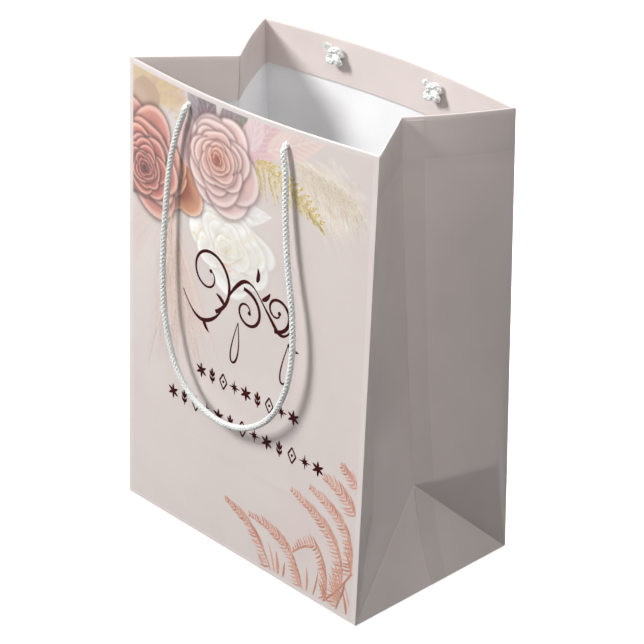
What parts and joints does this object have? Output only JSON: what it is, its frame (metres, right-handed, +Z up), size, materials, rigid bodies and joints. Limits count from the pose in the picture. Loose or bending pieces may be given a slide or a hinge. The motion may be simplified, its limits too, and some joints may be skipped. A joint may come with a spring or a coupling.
{
  "type": "gift bag",
  "caption": "Standing paper gift bag with folded gussets, a turned-in hem, a reinforced base and two cord loop handles that swing.",
  "frame": {"origin": "centre of the base on the surface that the bag stands on", "axes": "+Z up, +X to the right across the front panel, the front panel faces -Y"},
  "size_m": [0.1906, 0.139, 0.2682],
  "materials": {
    "front_print": "satin",
    "bag_paper": "satin",
    "hem_print": "satin",
    "greyboard": "matte",
    "white_cord": "matte"
  },
  "bodies": {
    "base": {"base_outer_flap": "bag_paper", "base_inner_flap": "bag_paper", "left_base_side_flap": "bag_paper", "right_base_side_flap": "bag_paper", "base_card": "greyboard"},
    "front_wall": {"front_panel": "front_print", "front_top_card": "greyboard", "front_hem": "hem_print", "front_knot_left": "white_cord", "front_knot_right": "white_cord"},
    "back_wall": {"back_panel": "bag_paper", "back_top_card": "greyboard", "back_hem": "hem_print", "back_knot_left": "white_cord", "back_knot_right": "white_cord"},
    "right_front_half": {"right_gusset_front": "bag_paper", "right_gusset_front_hem": "hem_print"},
    "right_back_half": {"right_gusset_back": "bag_paper", "right_gusset_back_hem": "hem_print", "lap_seam_flap": "bag_paper"},
    "left_front_half": {"left_gusset_front": "bag_paper", "left_gusset_front_hem": "hem_print"},
    "left_back_half": {"left_gusset_back": "bag_paper", "left_gusset_back_hem": "hem_print"},
    "right_foot": {"right_gusset_foot": "bag_paper"},
    "left_foot": {"left_gusset_foot": "bag_paper"},
    "front_handle": {"front_cord": "white_cord"},
    "back_handle": {"back_cord": "white_cord"}
  },
  "joints": [
    {"name": "mouth_close", "type": "hinge", "parent": "base", "child": "front_wall", "pos_m": [0, -0.059, 0], "axis": [-1, 0, 0], "range_deg": [0, 7.8]},
    {"name": "back_wall_lean", "type": "hinge", "parent": "base", "child": "back_wall", "pos_m": [0, 0.059, 0], "axis": [1, 0, 0], "range_deg": [0, 7.8]},
    {"name": "right_front_fold", "type": "hinge", "parent": "front_wall", "child": "right_front_half", "pos_m": [0.095, -0.059, 0], "axis": [0, 0.0384, 0.9993], "range_deg": [0, 43]},
    {"name": "left_front_fold", "type": "hinge", "parent": "front_wall", "child": "left_front_half", "pos_m": [-0.095, -0.059, 0], "axis": [0, -0.0384, -0.9993], "range_deg": [0, 43]},
    {"name": "right_back_fold", "type": "hinge", "parent": "back_wall", "child": "right_back_half", "pos_m": [0.095, 0.059, 0], "axis": [0, 0.0384, -0.9993], "range_deg": [0, 43]},
    {"name": "left_back_fold", "type": "hinge", "parent": "back_wall", "child": "left_back_half", "pos_m": [-0.095, 0.059, 0], "axis": [0, -0.0384, 0.9993], "range_deg": [0, 43]},
    {"name": "right_foot_lean", "type": "hinge", "parent": "base", "child": "right_foot", "pos_m": [0.095, 0, 0], "axis": [0, -1, 0], "range_deg": [0, 16.9]},
    {"name": "left_foot_lean", "type": "hinge", "parent": "base", "child": "left_foot", "pos_m": [-0.095, 0, 0], "axis": [0, 1, 0], "range_deg": [0, 16.9]},
    {"name": "front_handle_swing", "type": "hinge", "parent": "front_wall", "child": "front_handle", "pos_m": [0, -0.05865, 0.25878], "axis": [-1, 0, 0], "range_deg": [0, 172]},
    {"name": "back_handle_swing", "type": "hinge", "parent": "back_wall", "child": "back_handle", "pos_m": [0, 0.05865, 0.25878], "axis": [1, 0, 0], "range_deg": [0, 172]}
  ],
  "couplings": [
    {"joint": "back_wall_lean", "follows": "mouth_close", "ratio": 1},
    {"joint": "right_front_fold", "follows": "mouth_close", "ratio": 5.5},
    {"joint": "left_front_fold", "follows": "mouth_close", "ratio": 5.5},
    {"joint": "right_back_fold", "follows": "mouth_close", "ratio": 5.5},
    {"joint": "left_back_fold", "follows": "mouth_close", "ratio": 5.5},
    {"joint": "right_foot_lean", "follows": "mouth_close", "ratio": 2.15},
    {"joint": "left_foot_lean", "follows": "mouth_close", "ratio": 2.15}
  ]
}
